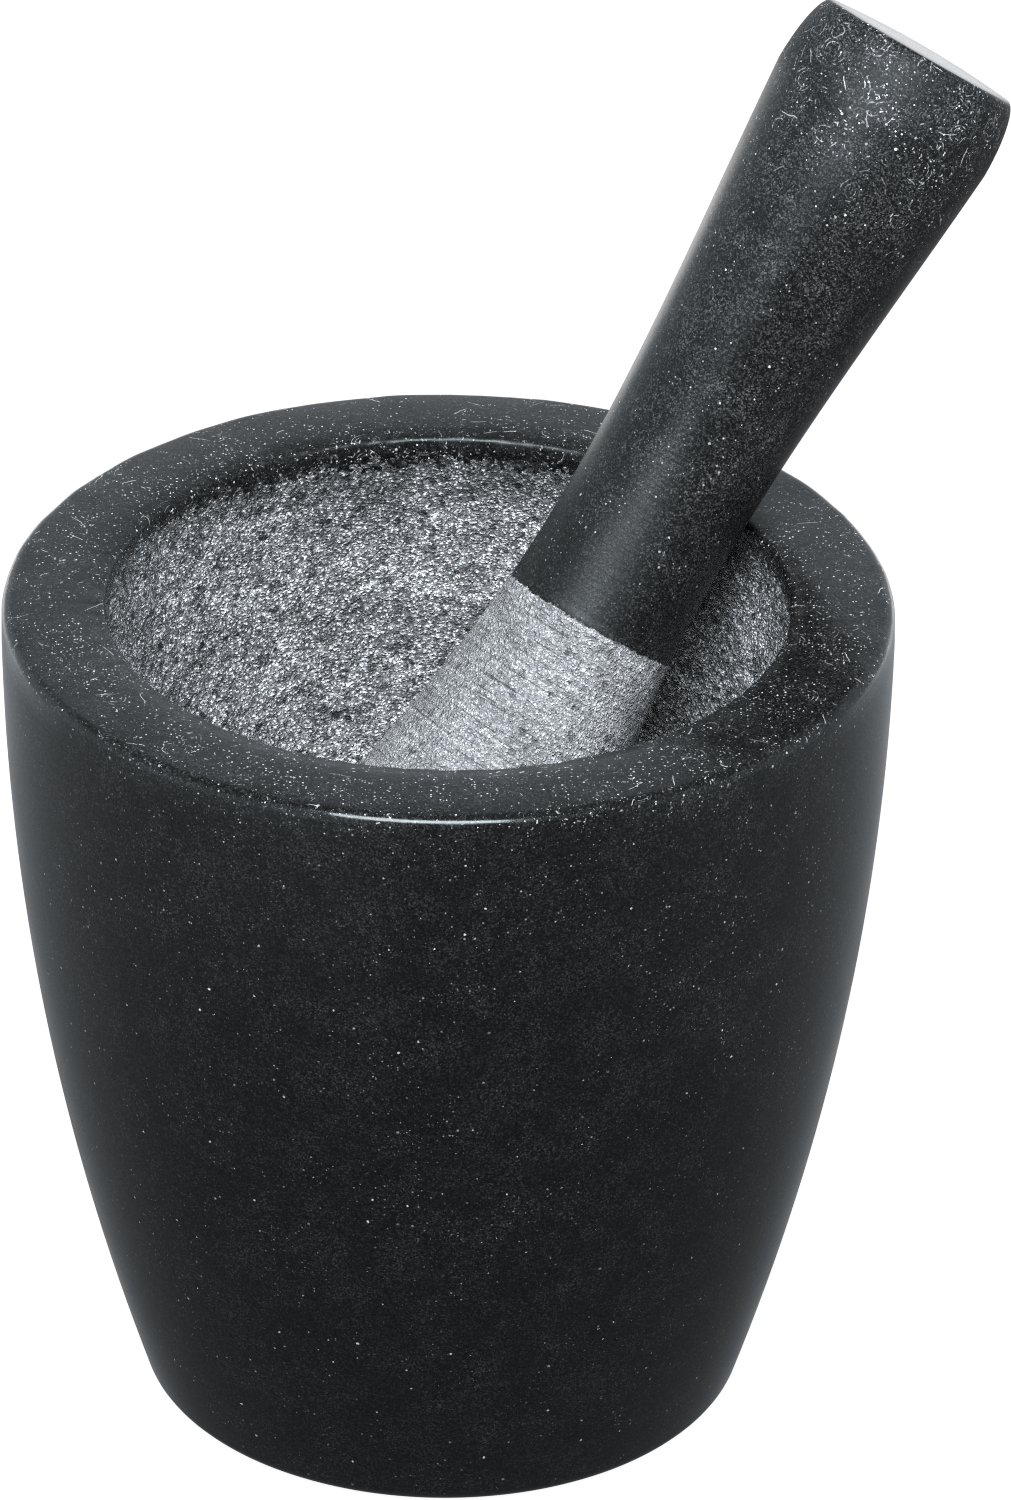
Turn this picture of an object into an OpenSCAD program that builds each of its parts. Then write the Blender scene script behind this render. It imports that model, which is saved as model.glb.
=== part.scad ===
// Turned granite mortar with its pestle standing in the bowl, leaning on the rim.
// Millimetres, +Z up. Origin: centre of the mortar's flat base.

/* [Mortar] */
// Height of the mortar
mortar_h = 138; // [125:1:150]
// Outer radius at the rim
rim_r = 70; // [66:0.5:76]
// Outer radius the wall would have at the table if the foot weren't rounded
foot_r = 47.2; // [43:0.1:52]
// Rounding between the wall and the base
foot_round = 4; // [2:0.5:6]
// Rounding of the rim's outer edge
rim_round = 2; // [1:0.25:3]

/* [Bowl] */
// Radius of the bowl's mouth
bowl_r = 53.3; // [50:0.1:57]
// Depth of the bowl below the rim
bowl_depth = 98; // [85:1:105]
// Fullness of the bowl: 2 is half an ellipse, more is squarer
bowl_power = 2.3; // [2:0.1:2.8]
// Rounding of the rim's inner edge
lip_round = 1.3; // [0.8:0.1:2]

/* [Pestle grip] */
// Length of the polished grip, from the collar to the cap
grip_len = 104.5; // [90:0.5:120]
// Radius of the grip at the collar
collar_r = 14.4; // [13:0.1:16]
// Radius that draws the waist in, a third of the way up the grip
waist_pull = 12.2; // [11:0.1:14]
// Radius that swells the grip, two thirds of the way up
swell_pull = 16.4; // [15:0.1:18]
// Largest radius of the grip, at the shoulder
shoulder_r = 18.7; // [17:0.1:20]
// Height of the rounded shoulder
shoulder_h = 12; // [8:0.5:15]
// How far the shoulder draws in at its top
shoulder_in = 2.8; // [2:0.1:4]
// Crown of the cap
cap_crown = 0.8; // [0.3:0.1:2]

/* [Pestle head] */
// How far the rough head stands proud of the grip at the collar
collar_step = 0.3; // [0.1:0.1:0.6]
// Length of the flared part of the head
flare_len = 66; // [50:0.1:70]
// Largest radius of the head
head_r = 23.2; // [20:0.1:25]
// Length of the domed end
dome_len = 27; // [22:0.5:32]

/* [Resting pose] */
// Lean of the pestle from the vertical, in degrees
lean = 36.6; // [30:0.1:40]
// Direction of the lean, in degrees anticlockwise from +X
heading = 34.6; // [0:0.1:360]
// Distance along the grip from the collar to where it touches the rim
touch = 25; // [15:0.5:35]
// Clearance left between the two stones where they touch
rest_gap = 0.3; // [0.2:0.05:0.6]

/* [Hidden] */
$fn = 96;

wall_steps = 18;
bowl_steps = 26;
grip_steps = 16;
flare_steps = 14;
dome_steps = 14;
round_steps = 6;
seam = 0.25; // height of the chamfer from the grip to the head at the collar

stone = "#2c3134";

// Points of a circle's arc from angle a to angle b
function arc(cx, cy, r, a, b, steps) =
    [for (i = [0:steps]) let (t = a + (b - a) * i / steps) [cx + r * cos(t), cy + r * sin(t)]];

// A cubic curve steered by four values
function cubic(p, t) =
    pow(1 - t, 3) * p[0] + 3 * pow(1 - t, 2) * t * p[1] + 3 * (1 - t) * t * t * p[2] + pow(t, 3) * p[3];

// --- Mortar outline, radius against height ---

// The wall draws in with the square of the distance below the rim
function wall_r(z) = rim_r - (rim_r - foot_r) * pow(1 - z / mortar_h, 2);

foot_lean = atan(2 * (rim_r - foot_r) / mortar_h);
foot_x = foot_r + foot_round * tan(foot_lean) - foot_round / cos(foot_lean);
wall_z0 = foot_round * (1 - sin(foot_lean));
wall_z1 = mortar_h - rim_round;
bowl_z = mortar_h - lip_round;
bowl_drop = bowl_depth - lip_round;

foot_pts = arc(foot_x, foot_round, foot_round, -90, -foot_lean, round_steps);
wall_pts = [for (i = [1:wall_steps - 1])
    let (z = wall_z0 + (wall_z1 - wall_z0) * i / wall_steps) [wall_r(z), z]];
rim_pts = arc(rim_r - rim_round, wall_z1, rim_round, 0, 90, round_steps);
lip_pts = arc(bowl_r + lip_round, bowl_z, lip_round, 90, 180, round_steps);
bowl_pts = [for (i = [1:bowl_steps - 1]) let (a = 90 * i / bowl_steps)
    [bowl_r * pow(cos(a), 2 / bowl_power), bowl_z - bowl_drop * pow(sin(a), 2 / bowl_power)]];
bowl_floor = [[0, bowl_z - bowl_drop]];

// --- Pestle outline, radius against distance from the collar ---

grip_radii = [collar_r, waist_pull, swell_pull, shoulder_r];
grip_body = grip_len - cap_crown - shoulder_h;
flare_radii = [collar_r + collar_step, collar_r + 1.5, head_r - 0.4, head_r];

dome_pts = [for (i = [0:dome_steps - 1]) let (a = 90 * i / dome_steps)
    [head_r * sin(a), -flare_len - dome_len * cos(a)]];
flare_pts = [for (i = [flare_steps:-1:1]) let (t = i / flare_steps)
    [cubic(flare_radii, t), -seam - (flare_len - seam) * t]];
grip_pts = [for (i = [0:grip_steps - 1]) let (t = i / grip_steps)
    [cubic(grip_radii, t), grip_body * t]];
shoulder_pts = [for (i = [0:2 * round_steps]) let (a = 90 * i / (2 * round_steps))
    [shoulder_r - shoulder_in * (1 - cos(a)), grip_body + shoulder_h * sin(a)]];
crown_pts = [for (i = [1:round_steps]) let (q = i / round_steps)
    [(shoulder_r - shoulder_in) * (1 - q), grip_len - cap_crown * pow(1 - q, 2)]];

// --- Resting place: the grip touches the lip, and the axis crosses the mortar's own axis ---

touch_t = touch / grip_body;
touch_slope = atan((cubic(grip_radii, touch_t + 0.01) - cubic(grip_radii, touch_t - 0.01))
    / (0.02 * grip_body));
axis_off = cubic(grip_radii, touch_t) + (rest_gap + lip_round) / cos(touch_slope);
collar_x = bowl_r + lip_round - touch * sin(lean) - axis_off * cos(lean);
collar_z = bowl_z - touch * cos(lean) + axis_off * sin(lean);

// Stone beaker with a deep round bowl, polished outside and pecked inside
module mortar() {
    color(stone)
        rotate_extrude()
            polygon(concat([[0, 0]], foot_pts, wall_pts, rim_pts, lip_pts, bowl_pts, bowl_floor));
}

// One stone: a polished grip above the collar and a rough, flared head below it
module pestle() {
    color(stone)
        rotate([0, 0, heading])
            translate([collar_x, 0, collar_z])
                rotate([0, lean, 0])
                    rotate_extrude()
                        polygon(concat(dome_pts, flare_pts, grip_pts, shoulder_pts, crown_pts));
}

mortar();
pestle();
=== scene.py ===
"""Turned granite mortar with its loose pestle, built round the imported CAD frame. Metres, +Z up."""
import math

import bpy
import numpy as np
from mathutils import Matrix, Vector


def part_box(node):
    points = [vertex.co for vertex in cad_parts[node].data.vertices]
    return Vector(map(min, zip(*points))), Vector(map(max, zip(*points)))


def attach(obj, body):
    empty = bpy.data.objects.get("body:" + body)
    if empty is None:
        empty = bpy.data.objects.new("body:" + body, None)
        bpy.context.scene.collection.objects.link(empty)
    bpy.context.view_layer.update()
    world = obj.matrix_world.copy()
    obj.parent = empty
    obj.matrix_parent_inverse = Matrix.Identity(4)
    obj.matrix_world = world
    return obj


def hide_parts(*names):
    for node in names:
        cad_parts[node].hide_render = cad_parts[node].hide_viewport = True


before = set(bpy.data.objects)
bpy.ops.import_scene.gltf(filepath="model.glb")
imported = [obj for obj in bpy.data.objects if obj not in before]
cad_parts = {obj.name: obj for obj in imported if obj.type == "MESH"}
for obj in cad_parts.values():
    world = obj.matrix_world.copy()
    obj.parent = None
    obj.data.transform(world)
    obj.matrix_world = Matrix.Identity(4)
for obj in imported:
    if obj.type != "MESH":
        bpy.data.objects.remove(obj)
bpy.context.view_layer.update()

MM = 0.001

# ---------------------------------------------------------------- driving sizes
mortar_lo, mortar_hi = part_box("mortar")
pestle_lo, pestle_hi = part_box("pestle")
MORTAR_H = mortar_hi.z
RIM_R = (mortar_hi.x - mortar_lo.x) / 2
FOOT_R = 47.2 * MM
FOOT_ROUND = 4 * MM
RIM_ROUND = 2 * MM
BOWL_R = 53.3 * MM
BOWL_DEPTH = 98 * MM
BOWL_POWER = 2.3
LIP_ROUND = 1.3 * MM

GRIP_LEN = 104.5 * MM
GRIP_RADII = [14.4 * MM, 12.2 * MM, 16.4 * MM, 18.7 * MM]
SHOULDER_H = 12 * MM
SHOULDER_IN = 2.8 * MM
CAP_CROWN = 0.8 * MM
COLLAR_SEAM = 0.25 * MM
HEAD_RADII = [14.7 * MM, 15.9 * MM, 22.8 * MM, 23.2 * MM]
FLARE_LEN = 66 * MM
DOME_LEN = 27 * MM
LEAN = math.radians(36.6)
HEADING = math.radians(34.6)

# how far below the lip the pecking starts, and where it is at its full
POLISH_END = 0.5 * MM
PECKING_FULL = 14 * MM

BOWL_SEGMENTS = 512
HEAD_SEGMENTS = 384
BOWL_STEP = 0.66 * MM
HEAD_STEP = 0.46 * MM


# ---------------------------------------------------------------- noise at points
def hashed(ix, iy, iz, seed):
    """A repeatable random number from 0 to 1 for each whole-number cell."""
    h = (ix * 374761393 + iy * 668265263 + iz * 1440662683 + seed * 974634777) & 0xFFFFFFFF
    h = ((h ^ (h >> 13)) * 1274126177) & 0xFFFFFFFF
    h = ((h ^ (h >> 16)) * 2246822519) & 0xFFFFFFFF
    return ((h ^ (h >> 15)) & 0xFFFFFF) / float(0xFFFFFF)


def soft_noise(points, size, seed):
    """Soft random bumps about that size, from 0 to 1."""
    p = points / size
    cell = np.floor(p).astype(np.int64)
    f = p - cell
    f = f * f * (3 - 2 * f)
    total = np.zeros(len(points))
    for dx in (0, 1):
        for dy in (0, 1):
            for dz in (0, 1):
                weight = (
                    (f[:, 0] if dx else 1 - f[:, 0])
                    * (f[:, 1] if dy else 1 - f[:, 1])
                    * (f[:, 2] if dz else 1 - f[:, 2])
                )
                total += weight * hashed(cell[:, 0] + dx, cell[:, 1] + dy, cell[:, 2] + dz, seed)
    return total


def pits(points, spacing, seed):
    """Round pits, about one to a cell of that spacing: 1 in the middle of a pit, 0 outside."""
    p = points / spacing
    cell = np.floor(p).astype(np.int64)
    deepest = np.zeros(len(points))
    for dx in (-1, 0, 1):
        for dy in (-1, 0, 1):
            for dz in (-1, 0, 1):
                c = cell + (dx, dy, dz)
                i, j, k = c[:, 0], c[:, 1], c[:, 2]
                centre = c + np.stack([hashed(i, j, k, seed + n) for n in range(3)], 1)
                radius = 0.35 + 0.5 * hashed(i, j, k, seed + 3)
                away = np.linalg.norm(p - centre, axis=1) / radius
                deepest = np.maximum(deepest, np.clip(1 - away * away, 0, 1))
    return deepest


# ---------------------------------------------------------------- outlines
def arc(cx, cz, r, a, b, steps):
    """Points of a circle's arc from a to b degrees, both ends included."""
    t = np.radians(np.linspace(a, b, steps + 1))
    return [(cx + r * math.cos(q), cz + r * math.sin(q)) for q in t]


def cubic(p, t):
    """A cubic curve steered by four values."""
    return (1 - t) ** 3 * p[0] + 3 * (1 - t) ** 2 * t * p[1] + 3 * (1 - t) * t * t * p[2] + t ** 3 * p[3]


def evenly(points, step):
    """The same outline with its points about one step apart."""
    points = np.array(points, float)
    along = np.concatenate([[0], np.cumsum(np.linalg.norm(np.diff(points, axis=0), axis=1))])
    stops = np.linspace(0, along[-1], int(round(along[-1] / step)) + 1)
    return list(zip(np.interp(stops, along, points[:, 0]), np.interp(stops, along, points[:, 1])))


def mortar_outline():
    """The mortar from the middle of the base, up the wall, over the rim and down to the bowl's floor.
    Also the number of points before the bowl starts."""
    wall_lean = math.atan(2 * (RIM_R - FOOT_R) / MORTAR_H)
    foot_x = FOOT_R + FOOT_ROUND * math.tan(wall_lean) - FOOT_ROUND / math.cos(wall_lean)
    base = [(share * foot_x, 0.0) for share in (0.0, 0.3, 0.6, 0.85)]
    foot = arc(foot_x, FOOT_ROUND, FOOT_ROUND, -90, -math.degrees(wall_lean), 7)
    rim_z = MORTAR_H - RIM_ROUND
    heights = np.linspace(foot[-1][1], rim_z, 34)[1:-1]
    wall = [(RIM_R - (RIM_R - FOOT_R) * (1 - z / MORTAR_H) ** 2, z) for z in heights]
    rim = arc(RIM_R - RIM_ROUND, rim_z, RIM_ROUND, 0, 90, 8)
    lip_z = MORTAR_H - LIP_ROUND
    lip = arc(BOWL_R + LIP_ROUND, lip_z, LIP_ROUND, 90, 180, 7)
    flat = [(x, MORTAR_H) for x in np.linspace(rim[-1][0], lip[0][0], 6)[1:-1]]
    turn = np.radians(np.linspace(0, 90, 1500))
    bowl = [
        (
            BOWL_R * max(math.cos(q), 0.0) ** (2 / BOWL_POWER),
            lip_z - (BOWL_DEPTH - LIP_ROUND) * math.sin(q) ** (2 / BOWL_POWER),
        )
        for q in turn
    ]
    bowl = evenly(bowl, BOWL_STEP)[1:-1] + [(0.0, MORTAR_H - BOWL_DEPTH)]
    outside = base + foot + wall + rim + flat
    return outside + lip + bowl, len(outside)


def pestle_outline():
    """The pestle from the tip of its head to the middle of its cap, with the collar at height 0.
    Also the number of points below the collar."""
    dome = [
        (HEAD_RADII[3] * math.sin(q), -FLARE_LEN - DOME_LEN * math.cos(q))
        for q in np.radians(np.linspace(0, 90, 90))
    ]
    flare = [
        (cubic(HEAD_RADII, t), -COLLAR_SEAM - (FLARE_LEN - COLLAR_SEAM) * t)
        for t in np.linspace(1, 0, 160)[1:]
    ]
    head = evenly(dome + flare, HEAD_STEP)
    body = GRIP_LEN - CAP_CROWN - SHOULDER_H
    grip = [(cubic(GRIP_RADII, t), body * t) for t in np.linspace(0, 1, 56)]
    cap_r = GRIP_RADII[3] - SHOULDER_IN
    shoulder = [
        (GRIP_RADII[3] - SHOULDER_IN * (1 - math.cos(q)), body + SHOULDER_H * math.sin(q))
        for q in np.radians(np.linspace(0, 90, 22))[1:]
    ]
    crown = [(cap_r * (1 - q), GRIP_LEN - CAP_CROWN * (1 - q) ** 2) for q in np.linspace(0, 1, 10)[1:]]
    return head + grip + shoulder + crown, len(head)


def place_pestle():
    """The pestle's turn, and the place of its collar's middle: the turned outline fits the CAD node's box."""
    turn = Matrix.Rotation(HEADING, 4, "Z") @ Matrix.Rotation(LEAN, 4, "Y")
    outline, below = pestle_outline()
    ring = np.arange(720) * 2 * math.pi / 720
    r, z = np.array(outline).T[:, :, None]
    points = np.stack([(r * np.cos(ring)).ravel(), (r * np.sin(ring)).ravel(), (z + 0 * ring).ravel()], 1)
    points = points @ np.array(turn.to_3x3()).T
    return turn, (pestle_lo + pestle_hi) / 2 - Vector((points.min(0) + points.max(0)) / 2)


PESTLE_TURN, PESTLE_PLACE = place_pestle()
# the collar's height along the pestle's own axis, measured from the row frame's origin
COLLAR_HEIGHT = (PESTLE_TURN.inverted() @ PESTLE_PLACE).z


# ---------------------------------------------------------------- turned meshes
def ring_sizes(outline, most, step, few_before=0, few_after=None):
    """How many points each ring gets: the most, halved while its points would lie closer than a step.
    Rings outside few_before and few_after, where the stone is smooth, get half as many."""
    sizes = []
    for i, (r, z) in enumerate(outline):
        smooth = i < few_before or (few_after is not None and i >= few_after)
        count = most // 2 if smooth else most
        while count > 16 and 2 * math.pi * r / count < 0.62 * step:
            count //= 2
        sizes.append(count)
    return sizes


def turned(name, outline, sizes):
    """A closed mesh turned from an outline that starts and ends on the axis.
    A ring has as many points as its neighbour, half as many or twice as many."""
    verts, starts = [(0.0, 0.0, outline[0][1])], [None]
    for (r, z), count in zip(outline[1:-1], sizes[1:-1]):
        starts.append(len(verts))
        turn = np.arange(count) * 2 * math.pi / count
        verts += list(zip(r * np.cos(turn), r * np.sin(turn), np.full(count, z)))
    verts.append((0.0, 0.0, outline[-1][1]))
    faces = []
    first, last, rows = sizes[1], sizes[-2], len(outline) - 2
    faces += [(0, 1 + (j + 1) % first, 1 + j) for j in range(first)]
    for i in range(1, rows):
        low, high, a, b = starts[i], starts[i + 1], sizes[i], sizes[i + 1]
        for j in range(min(a, b)):
            k = (j + 1) % min(a, b)
            if a == b:
                faces.append((low + j, low + k, high + k, high + j))
            elif a > b:
                middle = low + 2 * j + 1
                faces.append((low + 2 * j, middle, high + j))
                faces.append((middle, high + k, high + j))
                faces.append((middle, low + (2 * j + 2) % a, high + k))
            else:
                middle = high + 2 * j + 1
                faces.append((low + j, middle, high + 2 * j))
                faces.append((low + j, low + k, middle))
                faces.append((low + k, high + (2 * j + 2) % b, middle))
    top = starts[rows]
    faces += [(len(verts) - 1, top + j, top + (j + 1) % last) for j in range(last)]
    mesh = bpy.data.meshes.new(name)
    mesh.from_pydata(verts, [], faces)
    mesh.validate()
    mesh.shade_smooth()
    piece = bpy.data.objects.new(name, mesh)
    bpy.context.scene.collection.objects.link(piece)
    return piece


def read(mesh, what):
    """The mesh's points, or their normals, as an array."""
    values = np.zeros(len(mesh.vertices) * 3)
    mesh.vertices.foreach_get(what, values)
    return values.reshape(-1, 3)


def sink(mesh, depth):
    """Pushes every point into the stone by its own depth, along its normal."""
    points = read(mesh, "co") - read(mesh, "normal") * depth[:, None]
    mesh.vertices.foreach_set("co", points.ravel())
    mesh.update()


def store(mesh, name, values):
    """Keeps one number per point on the mesh, for the material to read."""
    layer = mesh.attributes.new(name, "FLOAT", "POINT")
    layer.data.foreach_set("value", np.clip(values, 0, 1).astype(np.float32))


def ramp(values, low, high):
    """0 below low, 1 above high, smooth between."""
    t = np.clip((values - low) / (high - low), 0, 1)
    return t * t * (3 - 2 * t)


# ---------------------------------------------------------------- node helpers
class Nodes:
    """Short ways to build a node tree."""

    def __init__(self, tree):
        self.tree = tree
        tree.nodes.clear()

    def new(self, kind, **settings):
        node = self.tree.nodes.new(kind)
        for key, value in settings.items():
            setattr(node, key, value)
        return node

    def put(self, socket, value):
        if isinstance(value, bpy.types.NodeSocket):
            self.tree.links.new(value, socket)
        elif value is not None:
            socket.default_value = value

    def math(self, operation, a, b=None, c=None):
        node = self.new("ShaderNodeMath", operation=operation)
        for socket, value in zip(node.inputs, (a, b, c)):
            self.put(socket, value)
        return node.outputs[0]

    def add(self, *values):
        total = values[0]
        for value in values[1:]:
            total = self.math("ADD", total, value)
        return total

    def times(self, *values):
        total = values[0]
        for value in values[1:]:
            total = self.math("MULTIPLY", total, value)
        return total

    def steps(self, value, low, high, to_low=0.0, to_high=1.0):
        """A smooth change from to_low to to_high as value goes from low to high."""
        node = self.new("ShaderNodeMapRange", interpolation_type="SMOOTHSTEP")
        for key, v in (("Value", value), ("From Min", low), ("From Max", high),
                       ("To Min", to_low), ("To Max", to_high)):
            self.put(node.inputs[key], v)
        return node.outputs["Result"]

    def noise(self, vector, scale, detail=2.0, rough=0.5, bend=0.0):
        node = self.new("ShaderNodeTexNoise")
        for key, v in (("Vector", vector), ("Scale", scale), ("Detail", detail), ("Roughness", rough),
                       ("Distortion", bend)):
            self.put(node.inputs[key], v)
        return node.outputs["Fac"]

    def cells(self, vector, scale):
        """Scattered cells: the distance to the nearest one's middle, and three random numbers for it."""
        node = self.new("ShaderNodeTexVoronoi", feature="F1")
        self.put(node.inputs["Vector"], vector)
        self.put(node.inputs["Scale"], scale)
        split = self.new("ShaderNodeSeparateColor")
        self.put(split.inputs[0], node.outputs["Color"])
        return node.outputs["Distance"], split.outputs[0], split.outputs[1], split.outputs[2]

    def vector(self, operation, a, b=None):
        """The result as a number where there is one, and else as a vector."""
        node = self.new("ShaderNodeVectorMath", operation=operation)
        self.put(node.inputs[0], a)
        self.put(node.inputs[1], b)
        return node.outputs["Value" if operation in ("DOT_PRODUCT", "LENGTH") else "Vector"]

    def flat(self, vector, normal):
        """What is left of the vector without its part along the normal."""
        out = self.new("ShaderNodeVectorMath", operation="SCALE")
        self.put(out.inputs[0], normal)
        self.put(out.inputs["Scale"], self.vector("DOT_PRODUCT", vector, normal))
        return self.vector("SUBTRACT", vector, out.outputs[0])

    def jittered(self, vector, scale, reach):
        """The vector moved about by up to that reach, so that round cells come out as flakes."""
        node = self.new("ShaderNodeTexNoise")
        for key, v in (("Vector", vector), ("Scale", scale), ("Detail", 1.0)):
            self.put(node.inputs[key], v)
        move = self.new("ShaderNodeVectorMath", operation="MULTIPLY_ADD")
        for socket, v in zip(move.inputs, (node.outputs["Color"], (2 * reach,) * 3, vector)):
            self.put(socket, v)
        return move.outputs[0]

    def mix(self, share, a, b):
        node = self.new("ShaderNodeMix", data_type="FLOAT")
        for socket, value in zip((node.inputs[0], node.inputs[2], node.inputs[3]), (share, a, b)):
            self.put(socket, value)
        return node.outputs[0]

    def mapped(self, vector, scale, turn=(0, 0, 0)):
        node = self.new("ShaderNodeMapping")
        self.put(node.inputs["Vector"], vector)
        node.inputs["Scale"].default_value = scale
        node.inputs["Rotation"].default_value = turn
        return node.outputs["Vector"]

    def attribute(self, name):
        return self.new("ShaderNodeAttribute", attribute_name=name).outputs["Fac"]


# ---------------------------------------------------------------- granite
def specks(n, mm, scale, share, size):
    """White crystals: that share of the cells holds a dot, of about that part of a cell's width."""
    away, pick, bright, big = n.cells(mm, scale)
    shown = n.steps(n.add(pick, share), 0.98, 1.02)
    radius = n.times(size, n.add(0.5, big))
    dot = n.steps(away, n.times(radius, 0.6), radius, 1.0, 0.0)
    return n.times(shown, dot, n.add(0.25, n.times(bright, 0.75)))


def marks(n, mm, scale):
    """Places for marks, one to a cell: the way to the mark's middle along the surface, and three random numbers."""
    spots = n.new("ShaderNodeTexVoronoi", feature="F1")
    n.put(spots.inputs["Vector"], mm)
    n.put(spots.inputs["Scale"], scale)
    normal = n.new("ShaderNodeTexCoord").outputs["Normal"]
    return n.flat(n.vector("SUBTRACT", mm, spots.outputs["Position"]), normal), normal, spots.outputs["Color"]


def scratches(n, mm, scale, share, width, length):
    """Straight thin scratches in all directions, on that share of the cells."""
    away, normal, random = marks(n, mm, scale)
    split = n.new("ShaderNodeSeparateColor")
    n.put(split.inputs[0], random)
    red, green, blue = split.outputs
    heading = n.vector("NORMALIZE", n.flat(n.vector("SUBTRACT", random, (0.5, 0.5, 0.5)), normal))
    along = n.vector("DOT_PRODUCT", away, heading)
    across = n.vector("LENGTH", n.flat(away, heading))
    reach = n.times(length, n.add(0.3, red))
    line = n.times(n.steps(across, width / 2, width, 1.0, 0.0),
                   n.steps(n.math("ABSOLUTE", along), n.times(reach, 0.6), reach, 1.0, 0.0))
    pick = n.math("FRACT", n.add(n.times(red, 7.3), n.times(green, 3.9)))
    return n.times(line, n.steps(n.add(pick, share), 0.98, 1.02), n.add(0.3, n.times(blue, 0.7)))


def scuffs(n, mm, share):
    """Broken rings of fine scratches, 3 to 6 mm across, on that share of the cells."""
    away, normal, random = marks(n, n.jittered(mm, 0.5, 0.5), 0.17)
    split = n.new("ShaderNodeSeparateColor")
    n.put(split.inputs[0], random)
    red, green, blue = split.outputs
    radius = n.vector("LENGTH", away)
    line = n.steps(n.math("PINGPONG", n.add(radius, n.times(red, 0.7)), 0.35), 0.02, 0.14, 1.0, 0.0)
    inside = n.steps(radius, n.add(1.3, n.times(green, 1.4)), n.add(1.7, n.times(green, 1.4)), 1.0, 0.0)
    outside = n.steps(radius, 0.7, 1.0)
    broken = n.times(n.steps(n.noise(mm, 0.5, 2), 0.44, 0.60), n.steps(n.noise(mm, 2.2, 1), 0.38, 0.62))
    return n.times(line, inside, outside, broken, n.steps(n.add(blue, share), 0.95, 1.05))


def polished_stone(n, mm, worn, marked, dark, haze, pale, rubbed, rough_low, rough_high):
    """Dark polished granite: brightness, roughness and relief in mm.
    Worn is where it is rubbed and chipped, and marked its turning marks. The numbers are the brightness of the
    dark grains, of the haze and of the white crystals, the share of ring marks, and the range of roughness."""
    away, pick, bright, big = n.cells(mm, 4.4)
    away2, pick2, bright2, big2 = n.cells(mm, 2.3)
    cloud = n.noise(mm, 0.12, 3, 0.6)
    base = n.times(n.mix(cloud, 0.6 * dark, 1.4 * dark), n.steps(bright2, 0.0, 1.0, 0.5, 1.5))
    patch = n.steps(n.add(n.noise(mm, 0.14, 4, 0.65), n.times(worn, 0.06)), 0.38, 0.70, 0.35, 1.0)
    crystal = n.add(n.math("POWER", bright, 4.0), n.times(n.math("POWER", bright2, 5.0), n.steps(away2, 0.2, 0.5, 1.0, 0.0)))
    salt = n.times(crystal, patch, haze)
    share = n.add(n.times(n.add(n.noise(mm, 0.10, 3), -0.5), 0.42), n.times(worn, worn, 0.08))
    dots = n.add(
        n.times(specks(n, mm, 3.6, n.add(share, 0.05), 0.30), 0.45),
        n.times(specks(n, mm, 2.1, n.add(share, 0.035), 0.29), 1.0),
    )
    bright_dots = specks(n, n.jittered(mm, 2.5, 0.12), 1.3, n.add(n.times(share, 0.2), 0.020), 0.24)
    bent = n.jittered(mm, 0.6, 0.35)
    lines = n.add(
        n.times(scratches(n, bent, 1.1, n.add(share, -0.01), 0.11, 0.35), 0.60),
        n.times(scratches(n, bent, 0.33, n.times(worn, worn, 0.10), 0.09, 2.2), 0.55),
        n.times(scuffs(n, mm, n.times(worn, rubbed)), 0.40),
    )
    white = n.times(pale, n.add(
        n.times(dots, n.add(0.25, n.times(worn, 0.75))),
        n.times(lines, n.steps(worn, 0.40, 0.8)),
        bright_dots,
    ))
    value = n.math("MINIMUM", n.add(base, salt, white), 0.9)
    smudge = n.noise(mm, 0.07, 3, 0.6)
    rough = n.add(n.steps(smudge, 0.3, 0.7, rough_low, rough_high), n.times(n.add(white, salt), 0.4))
    rough = n.add(rough, n.steps(worn, 0.90, 1.0, 0.0, 0.22))
    relief = n.add(n.times(bright2, 0.006), n.times(n.noise(mm, 0.8, 2), 0.02), n.times(marked, 0.03))
    return value, rough, relief


def crushed_stone(n, mm, fine, pale, contrast, streaks, shade):
    """Pecked granite: crushed white crystals, and dark gaps and pits that are partly dark stone and partly painted
    shade. Brightness, roughness and relief in mm.
    """
    broken = n.jittered(mm, 1.2 * fine, 0.25)
    away, pick, bright, big = n.cells(broken, 1.9 * fine)
    away2, pick2, bright2, big2 = n.cells(broken, 3.8 * fine)
    # The pits and the gaps round the grains darken the colour where the relief sinks: partly dark stone, partly
    # painted shade.
    pit_and_shade = specks(n, broken, 0.6, 0.22, 0.45)
    gap_and_shade = n.steps(away, 0.26, 0.58)
    fine_gap_and_shade = n.steps(away2, 0.30, 0.60)
    flakes = n.noise(mm, 1.2 * fine, 3, 0.7, 0.6)
    level = n.add(
        n.times(n.add(flakes, -0.5), 5.0),
        n.times(n.add(bright, -0.5), 1.7),
        n.times(n.add(bright2, -0.5), 1.1),
        # Painted shade: the sunk gaps and pits are made darker.
        n.times(n.add(gap_and_shade, -0.4), -1.7),
        n.times(n.add(fine_gap_and_shade, -0.4), -0.6),
        n.times(pit_and_shade, -2.2),
        n.times(n.add(n.noise(mm, 0.15, 3), -0.5), 2.4),
        streaks,
        shade,
    )
    value = n.times(n.math("EXPONENT", n.times(level, contrast)), pale)
    rough = n.steps(bright2, 0.0, 1.0, 0.30, 0.75)
    relief = n.add(n.times(flakes, 0.8), n.times(gap_and_shade, -0.28), n.times(fine_gap_and_shade, -0.05), n.times(pit_and_shade, -0.25))
    return n.math("MINIMUM", value, 0.74), rough, relief


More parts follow.
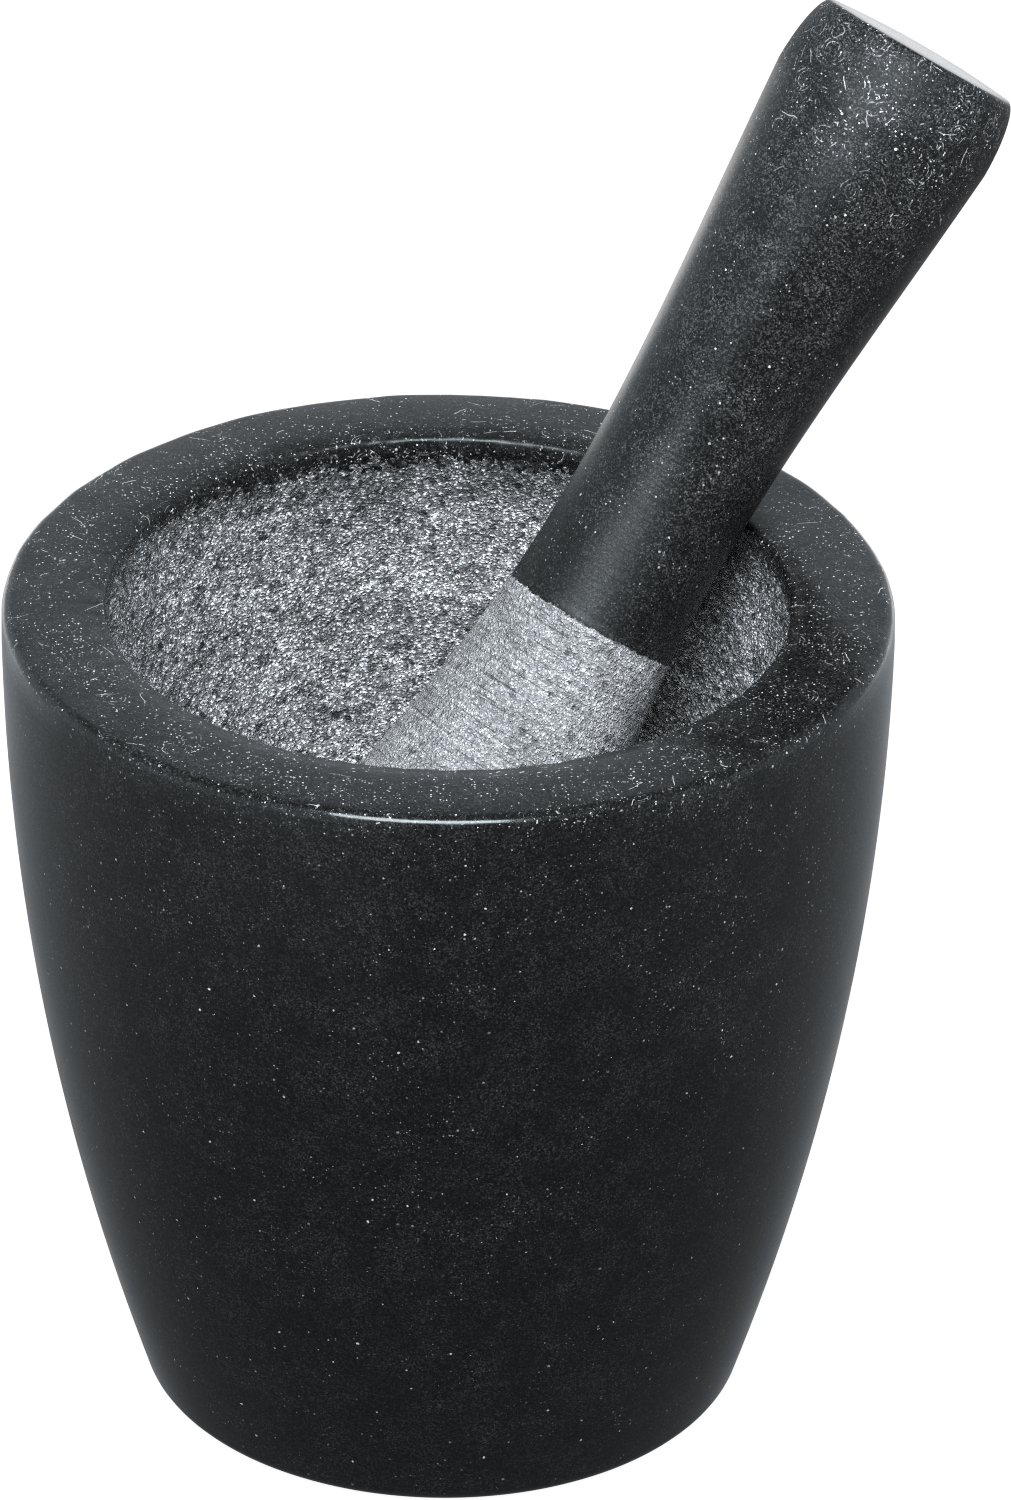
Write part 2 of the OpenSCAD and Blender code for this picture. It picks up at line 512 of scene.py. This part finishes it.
def granite(name, build, gloss):
    """One stone in two finishes: build gives the share of the second, and both finishes."""
    mat = bpy.data.materials.new(name)
    mat.use_nodes = True
    n = Nodes(mat.node_tree)
    mm = n.mapped(n.new("ShaderNodeTexCoord").outputs["Object"], (1000, 1000, 1000))
    share, polished, crushed = build(n, mm)
    value, rough, relief = (n.mix(share, a, b) for a, b in zip(polished, crushed))
    bump = n.new("ShaderNodeBump")
    n.put(bump.inputs["Height"], n.times(relief, MM))
    bump.inputs["Distance"].default_value = 1.0
    shader = n.new("ShaderNodeBsdfPrincipled")
    n.put(shader.inputs["Base Color"], value)
    n.put(shader.inputs["Roughness"], rough)
    shader.inputs["IOR"].default_value = 1.5
    shader.inputs["Specular IOR Level"].default_value = gloss
    shader.inputs["Specular Tint"].default_value = (0.95, 1.0, 1.0, 1)
    n.put(shader.inputs["Normal"], bump.outputs["Normal"])
    out = n.new("ShaderNodeOutputMaterial")
    n.put(out.inputs["Surface"], shader.outputs[0])
    return mat


def mortar_finishes(n, mm):
    """The pecking thickens below the lip: first scattered white grains, then the whole surface."""
    pecked = n.attribute("pecked")
    turned_marks = n.noise(n.mapped(mm, (0.05, 0.05, 1.3)), 1.0, 2)
    polished = polished_stone(n, mm, n.attribute("worn"), turned_marks, 0.0017, 0.024, 0.55, 0.12, 0.12, 0.20)
    rings = n.add(n.noise(n.mapped(mm, (0.03, 0.03, 0.55)), 1.0, 2), -0.5)
    # Darker where the pecking is thin below the lip, and over a longer way down on the back and right walls: partly
    # dark stone showing through thin pecking, partly painted shade on the back and right walls.
    thin_pecking_and_shade = n.times(n.add(pecked, -1.0), 0.95)
    crushed = crushed_stone(n, n.mapped(mm, (0.85, 0.85, 1.15)), 1.0, 0.29, 0.88, rings, thin_pecking_and_shade)
    away, pick, bright, big = n.cells(mm, 1.3)
    ragged = n.add(n.times(bright, 0.9), n.times(n.noise(mm, 0.35, 2), 0.8), n.times(n.noise(mm, 1.1, 2), 0.6))
    share = n.times(n.steps(n.add(n.times(pecked, 5.0), ragged), 1.50, 1.70), n.steps(pecked, 0.0, 0.004))
    return share, polished, crushed


def pestle_finishes(n, mm):
    """In the pestle's own frame, with the collar at height 0."""
    axial = n.mapped(mm, (1, 1, 1), tuple(PESTLE_TURN.inverted().to_euler("XYZ")))
    split = n.new("ShaderNodeSeparateXYZ")
    n.put(split.inputs[0], axial)
    height = n.add(split.outputs["Z"], -COLLAR_HEIGHT / MM)
    turned_marks = n.noise(n.mapped(axial, (0.25, 0.25, 2.0)), 1.0, 2)
    value, rough, relief = polished_stone(
        n, mm, n.attribute("worn"), turned_marks, 0.0017, 0.060, 0.62, 0.70, 0.20, 0.27
    )
    rough = n.add(rough, n.steps(height, GRIP_LEN / MM - 42, GRIP_LEN / MM - 12, 0.0, 0.17),
                  n.steps(height, 4, 45, 0.30, 0.0))
    # Darker towards the collar: painted shade on the lower grip.
    value = n.times(value, n.steps(height, 5, 45, 0.55, 1.0))
    polished = value, n.mix(n.steps(height, GRIP_LEN / MM - 1.5, GRIP_LEN / MM - 0.5), rough, 0.18), relief
    grooves = n.add(n.noise(n.mapped(axial, (0.09, 0.09, 1.6)), 1.0, 2, 0.6), -0.5)
    cuts = n.steps(n.noise(n.mapped(axial, (0.07, 0.07, 2.6)), 1.0, 2), 0.58, 0.70, 0.0, -2.2)
    crushed = crushed_stone(n, axial, 1.15, 0.31, 0.40, n.times(grooves, 4.0), cuts)
    ragged = n.times(n.add(n.noise(axial, 1.3, 2), -0.5), 1.4)
    share = n.steps(n.add(height, ragged), -0.15, 0.05, 1.0, 0.0)
    return share, polished, crushed


# ---------------------------------------------------------------- the two stones
def make_mortar():
    outline, outside = mortar_outline()
    sizes = ring_sizes(outline, BOWL_SEGMENTS, BOWL_STEP, few_before=outside - 2)
    piece = turned("mortar_stone", outline, sizes)
    points = read(piece.data, "co")
    radius, height = np.hypot(points[:, 0], points[:, 1]), points[:, 2]
    in_bowl = (radius < BOWL_R + LIP_ROUND / 2) & (height > (MORTAR_H - BOWL_DEPTH) * 0.9)
    below_lip = (MORTAR_H - LIP_ROUND - height) * in_bowl
    rim = ramp(height, MORTAR_H - 3 * MM, MORTAR_H - RIM_ROUND / 2)
    wall = 0.05 + 0.30 * (height / MORTAR_H) ** 2
    # The pecking thins out over a longer way on the back and right walls; the material darkens that thin pecking,
    # which is partly painted shade there.
    late = ramp(points[:, 1] + 0.35 * points[:, 0], -0.1 * BOWL_R, 0.9 * BOWL_R)
    starts = POLISH_END * (1 + late)
    store(piece.data, "pecked", ramp(below_lip, starts, PECKING_FULL * (0.4 + 0.7 * late)))
    lip_zone = ramp(-abs(radius - BOWL_R - LIP_ROUND / 3), -3 * MM, -1 * MM) * ramp(height, MORTAR_H - 12 * MM, MORTAR_H - 6 * MM)
    store(piece.data, "worn", np.maximum(wall + rim * (0.87 - wall), lip_zone))
    rings = soft_noise(points * (0.05, 0.05, 1.0), 3.4 * MM, 7)
    depth = (
        0.46 * pits(points, 2.5 * MM, 10)
        + 0.34 * pits(points, 1.5 * MM, 20)
        + 0.16 * soft_noise(points, 6 * MM, 30)
        + 0.16 * rings
    )
    edge = rim * ramp(radius, RIM_R - 8 * MM, RIM_R - 1 * MM)
    waves = 0.30 * soft_noise(points, 8 * MM, 40) + 0.10 * soft_noise(points, 2.5 * MM, 41)
    lip = rim * ramp(-abs(radius - BOWL_R - LIP_ROUND / 3), -2.4 * MM, -0.3 * MM)
    chips = 0.18 + 0.22 * soft_noise(points, 1.6 * MM, 42)
    pecks = depth * ramp(below_lip, starts, starts + 1.5 * MM)
    sink(piece.data, MM * (pecks + waves * edge + chips * lip))
    piece.data.materials.append(granite("mortar_granite", mortar_finishes, 0.48))
    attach(piece, "mortar")
    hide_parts("mortar")
    return piece


def make_pestle():
    outline, below = pestle_outline()
    sizes = ring_sizes(outline, HEAD_SEGMENTS, HEAD_STEP, few_after=below + 2)
    piece = turned("pestle_stone", outline, sizes)
    points = read(piece.data, "co")
    height = points[:, 2]
    pecked = ramp(-height, 0.2 * MM, 1.0 * MM)
    store(piece.data, "worn", 0.45 + 0.55 * ramp(height, GRIP_LEN - 40 * MM, GRIP_LEN - 6 * MM))
    grooves = soft_noise(points * (0.06, 0.06, 1.0), 1.5 * MM, 50)
    depth = (
        0.12 * pits(points, 1.5 * MM, 60)
        + 0.10 * soft_noise(points, 5 * MM, 70)
        + 0.10 * grooves
    )
    sink(piece.data, depth * MM * pecked)
    piece.data.transform(Matrix.Translation(PESTLE_PLACE) @ PESTLE_TURN)
    piece.data.materials.append(granite("pestle_granite", pestle_finishes, 0.38))
    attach(piece, "pestle")
    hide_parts("pestle")
    return piece


# ---------------------------------------------------------------- floor, light and camera
FLOOR_HALF = 6.0
DAYLIGHT = (0.93, 1.0, 1.06)
# how much of the tent's light reaches the matt stone, beside the key softbox
TENT_FILL = 0.2


def make_floor():
    """A pale floor. It only shows to the camera and takes the shadow; the studio lights the stone."""
    mesh = bpy.data.meshes.new("floor")
    s = FLOOR_HALF
    mesh.from_pydata([(-s, -s, 0), (s, -s, 0), (s, s, 0), (-s, s, 0)], [], [(0, 1, 2, 3)])
    floor = bpy.data.objects.new("floor", mesh)
    bpy.context.scene.collection.objects.link(floor)
    mat = bpy.data.materials.new("pale_floor")
    mat.use_nodes = True
    n = Nodes(mat.node_tree)
    shader = n.new("ShaderNodeBsdfPrincipled")
    shader.inputs["Base Color"].default_value = (0.08, 0.08, 0.08, 1)
    shader.inputs["Roughness"].default_value = 1.0
    shader.inputs["Specular IOR Level"].default_value = 0.0
    shader.inputs["Emission Color"].default_value = (1, 1, 1, 1)
    shader.inputs["Emission Strength"].default_value = 0.95
    out = n.new("ShaderNodeOutputMaterial")
    n.put(out.inputs["Surface"], shader.outputs[0])
    mesh.materials.append(mat)
    floor.visible_glossy = False
    floor.visible_diffuse = False
    return floor


def direction(azimuth, elevation):
    """Azimuth 0 is away from the camera's side, along +Y, and 90 is along +X; in degrees."""
    a, e = math.radians(azimuth), math.radians(elevation)
    return Vector((math.sin(a) * math.cos(e), math.cos(a) * math.cos(e), math.sin(e)))


def softbox(name, azimuth, elevation, distance, size, radiance, gloss=True):
    """A rectangular light that faces the mortar's mouth. Without gloss it only lights the matt stone."""
    aim = Vector((0, 0, MORTAR_H))
    light = bpy.data.lights.new(name, "AREA")
    light.shape = "RECTANGLE"
    light.size, light.size_y = size
    light.energy = radiance * math.pi * size[0] * size[1]
    light.color = DAYLIGHT
    lamp = bpy.data.objects.new(name, light)
    lamp.visible_glossy = gloss
    bpy.context.scene.collection.objects.link(lamp)
    away = direction(azimuth, elevation)
    lamp.location = aim + distance * away
    lamp.rotation_mode = "QUATERNION"
    lamp.rotation_quaternion = (-away).to_track_quat("-Z", "Y")
    return lamp


def make_studio():
    """A white tent that is open and dim on the camera's side, with a dim ceiling and floor."""
    world = bpy.data.worlds.new("studio")
    bpy.context.scene.world = world
    world.use_nodes = True
    n = Nodes(world.node_tree)
    split = n.new("ShaderNodeSeparateXYZ")
    n.put(split.inputs[0], n.new("ShaderNodeTexCoord").outputs["Generated"])
    x, y, z = split.outputs
    elevation = n.times(n.math("ARCSINE", z), 180 / math.pi)
    azimuth = n.times(n.math("ARCTAN2", x, y), 180 / math.pi)
    tent = n.times(n.steps(azimuth, -176, -150), n.steps(azimuth, 20, 80, 1.0, 0.7),
                   n.steps(azimuth, 110, 150, 1.0, 0.1))
    wall = n.add(0.17, n.times(tent, 0.62))
    behind = n.steps(n.math("ABSOLUTE", azimuth), 30, 80, 1.0, 0.0)
    backdrop = n.times(n.steps(elevation, -32, -12), behind)
    ground = n.add(0.15, n.times(n.steps(elevation, -50, -8), n.add(0.08, n.times(tent, 0.30))),
                   n.times(backdrop, 1.15))
    ceiling = n.steps(elevation, 30, 55, 0.40, 0.22)
    level = n.mix(n.steps(elevation, -12, 0), ground, wall)
    level = n.mix(n.steps(elevation, 16, 42), level, ceiling)
    path = n.new("ShaderNodeLightPath")
    level = n.mix(path.outputs["Is Diffuse Ray"], level, n.times(level, TENT_FILL))
    back = n.new("ShaderNodeBackground")
    seen = path.outputs["Is Camera Ray"]
    tint = n.new("ShaderNodeMix", data_type="RGBA")
    n.put(tint.inputs["Factor"], n.math("MAXIMUM", seen, n.times(backdrop, n.steps(elevation, -12, 0, 0.8, 0.0))))
    n.put(tint.inputs["A"], DAYLIGHT + (1,))
    n.put(tint.inputs["B"], (1, 1, 1, 1))
    n.put(back.inputs["Color"], tint.outputs["Result"])
    n.put(back.inputs["Strength"], n.mix(seen, level, 1.0))
    out = n.new("ShaderNodeOutputWorld")
    n.put(out.inputs["Surface"], back.outputs[0])


def make_camera():
    """In front and above, at a long lens; it looks a little below the rim, and leans by under a degree."""
    distance, elevation = 2.0, math.radians(28.755)
    tilt, pan, roll = math.radians(29.436), math.radians(0.300), math.radians(-0.658)
    camera = bpy.data.objects.new("camera", bpy.data.cameras.new("camera"))
    bpy.context.scene.collection.objects.link(camera)
    forward = Vector((math.sin(pan) * math.cos(tilt), math.cos(pan) * math.cos(tilt), -math.sin(tilt)))
    right = Vector((math.cos(pan), -math.sin(pan), 0))
    up = right.cross(forward)
    right, up = right * math.cos(roll) - up * math.sin(roll), up * math.cos(roll) + right * math.sin(roll)
    turn = Matrix((right, up, -forward)).transposed().to_4x4()
    rim_centre = Vector((0, 0, MORTAR_H))
    place = rim_centre + distance * Vector((0, -math.cos(elevation), math.sin(elevation)))
    camera.matrix_world = Matrix.Translation(place) @ turn
    camera.data.lens = 306.77
    camera.data.sensor_width = 36
    camera.data.clip_end = 50
    bpy.context.scene.camera = camera
    bpy.context.scene.cycles.filter_width = 1.2
    bpy.context.scene.cycles.use_denoising = False


make_mortar()
make_pestle()
make_floor()
make_studio()
softbox("key_softbox", azimuth=-173, elevation=49, distance=1.7, size=(1.1, 0.65), radiance=20)
softbox("side_softbox", azimuth=-165, elevation=50, distance=1.7, size=(0.9, 0.5), radiance=33, gloss=False)
softbox("fill_softbox", azimuth=125, elevation=32, distance=1.7, size=(0.9, 0.7), radiance=9, gloss=False)
make_camera()
bpy.context.scene.view_settings.view_transform = "Standard"
